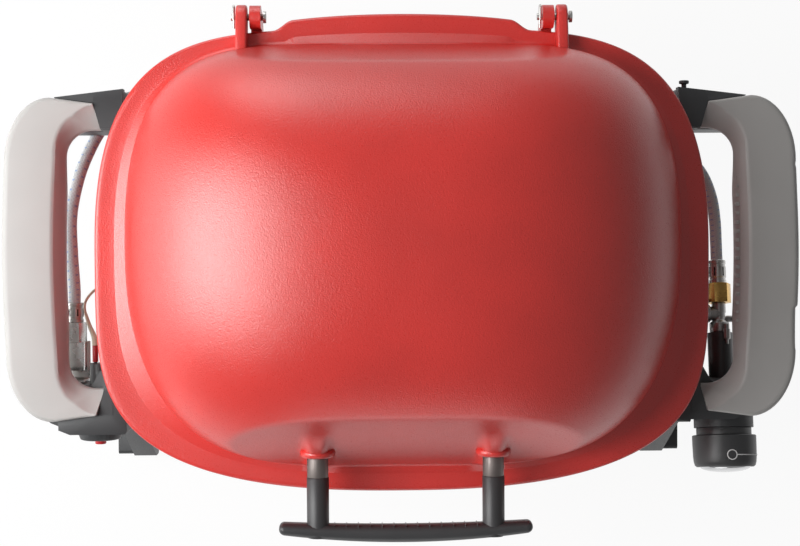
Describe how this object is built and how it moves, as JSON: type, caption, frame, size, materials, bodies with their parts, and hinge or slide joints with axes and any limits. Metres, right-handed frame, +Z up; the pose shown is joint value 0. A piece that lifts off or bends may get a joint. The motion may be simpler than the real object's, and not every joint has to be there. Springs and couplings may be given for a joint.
{
  "type": "portable gas grill",
  "caption": "Portable tabletop gas grill: domed hinged lid over a bowl-shaped cookbox, carried by a four-legged frame with side grips, control knob, igniter and drip tray.",
  "frame": {"origin": "on the ground, under the middle of the whole grill's box", "axes": "+Z up, -Y towards the front with the handle and knob, +X to the knob's side"},
  "size_m": [0.702, 0.458, 0.3654],
  "materials": {
    "red_enamel": "fine textured red enamel on cast aluminium",
    "black_nylon": "fine matt moulded nylon",
    "charcoal_nylon": "fine matt moulded glass-filled nylon",
    "grip_grey": "satin moulded plastic, warm light grey",
    "steel": "zinc plated or stainless",
    "stainless": "stainless tube",
    "brass": "machined",
    "chrome": "polished",
    "cast_iron": "porcelain enamelled, satin black",
    "rubber": "matt",
    "aluminium": "drawn sheet",
    "hose_braid": "rubber hose under a grey braid",
    "wire_cream": "silicone insulation",
    "ceramic": "glazed ceramic, with a steel tip",
    "red_plastic": "moulded"
  },
  "bodies": {
    "base": {"cookbox": "red_enamel", "knob_bezel": "black_nylon", "stem_sleeve": "black_nylon", "hose_clips": "black_nylon", "tool_hook": "black_nylon", "igniter_body": "black_nylon", "left_end_frame": "charcoal_nylon", "right_end_frame": "charcoal_nylon", "front_rail": "charcoal_nylon", "rear_rail": "charcoal_nylon", "igniter_bezel": "charcoal_nylon", "left_grip": "grip_grey", "right_grip": "grip_grey", "hinge_pins": "steel", "hairpin_clips": "steel", "burner_supports": "steel", "air_shutter": "steel", "ground_screw": "steel", "grip_screws": "steel", "rail_screws": "steel", "cookbox_screws": "steel", "runner_screws": "steel", "drip_tray_runners": "steel", "gas_valve": "steel", "inlet_hose_nut": "steel", "hose_ferrules": "steel", "inlet_fitting": "steel", "inlet_bracket": "steel", "burner_tube": "stainless", "valve_hose_nut": "brass", "foot_pads": "rubber", "gas_hose": "hose_braid", "igniter_wires": "wire_cream", "igniter_electrode": "ceramic", "terminal_sleeves": "red_plastic"},
    "lid": {"lid": "red_enamel", "lid_handle": "black_nylon", "handle_sleeves": "steel", "handle_screws": "steel"},
    "thrust_washer": {"stem_washer": "steel"},
    "knob": {"control_knob": "black_nylon", "knob_cap": "chrome", "valve_stem": "steel"},
    "igniter_button": {"igniter_button": "red_plastic"},
    "drip_tray": {"drip_tray": "aluminium"},
    "grate_left": {"cooking_grate_left": "cast_iron"},
    "grate_right": {"cooking_grate_right": "cast_iron"}
  },
  "joints": [
    {"name": "lid_hinge", "type": "hinge", "parent": "base", "child": "lid", "pos_m": [0, 0.2185, 0.23], "axis": [-1, 0, 0], "range_deg": [0, 95]},
    {"name": "knob_push", "type": "slide", "parent": "base", "child": "thrust_washer", "axis": [0, 0.9848, -0.1736], "range_m": [0, 0.003], "stiffness_N_per_m": 900},
    {"name": "knob_turn", "type": "hinge", "parent": "thrust_washer", "child": "knob", "pos_m": [0.297, -0.045, 0.138], "axis": [0, -0.9848, 0.1736], "range_deg": [0, 200]},
    {"name": "igniter_push", "type": "slide", "parent": "base", "child": "igniter_button", "axis": [0, 1, 0], "range_m": [0, 0.0035], "stiffness_N_per_m": 900},
    {"name": "drip_tray_slide", "type": "slide", "parent": "base", "child": "drip_tray", "axis": [0, 1, 0], "range_m": [0, 0.2]},
    {"name": "grate_left_lift", "type": "slide", "parent": "base", "child": "grate_left", "axis": [0, 0, 1], "range_m": [0, 0.018]},
    {"name": "grate_right_lift", "type": "slide", "parent": "base", "child": "grate_right", "axis": [0, 0, 1], "range_m": [0, 0.018]}
  ]
}
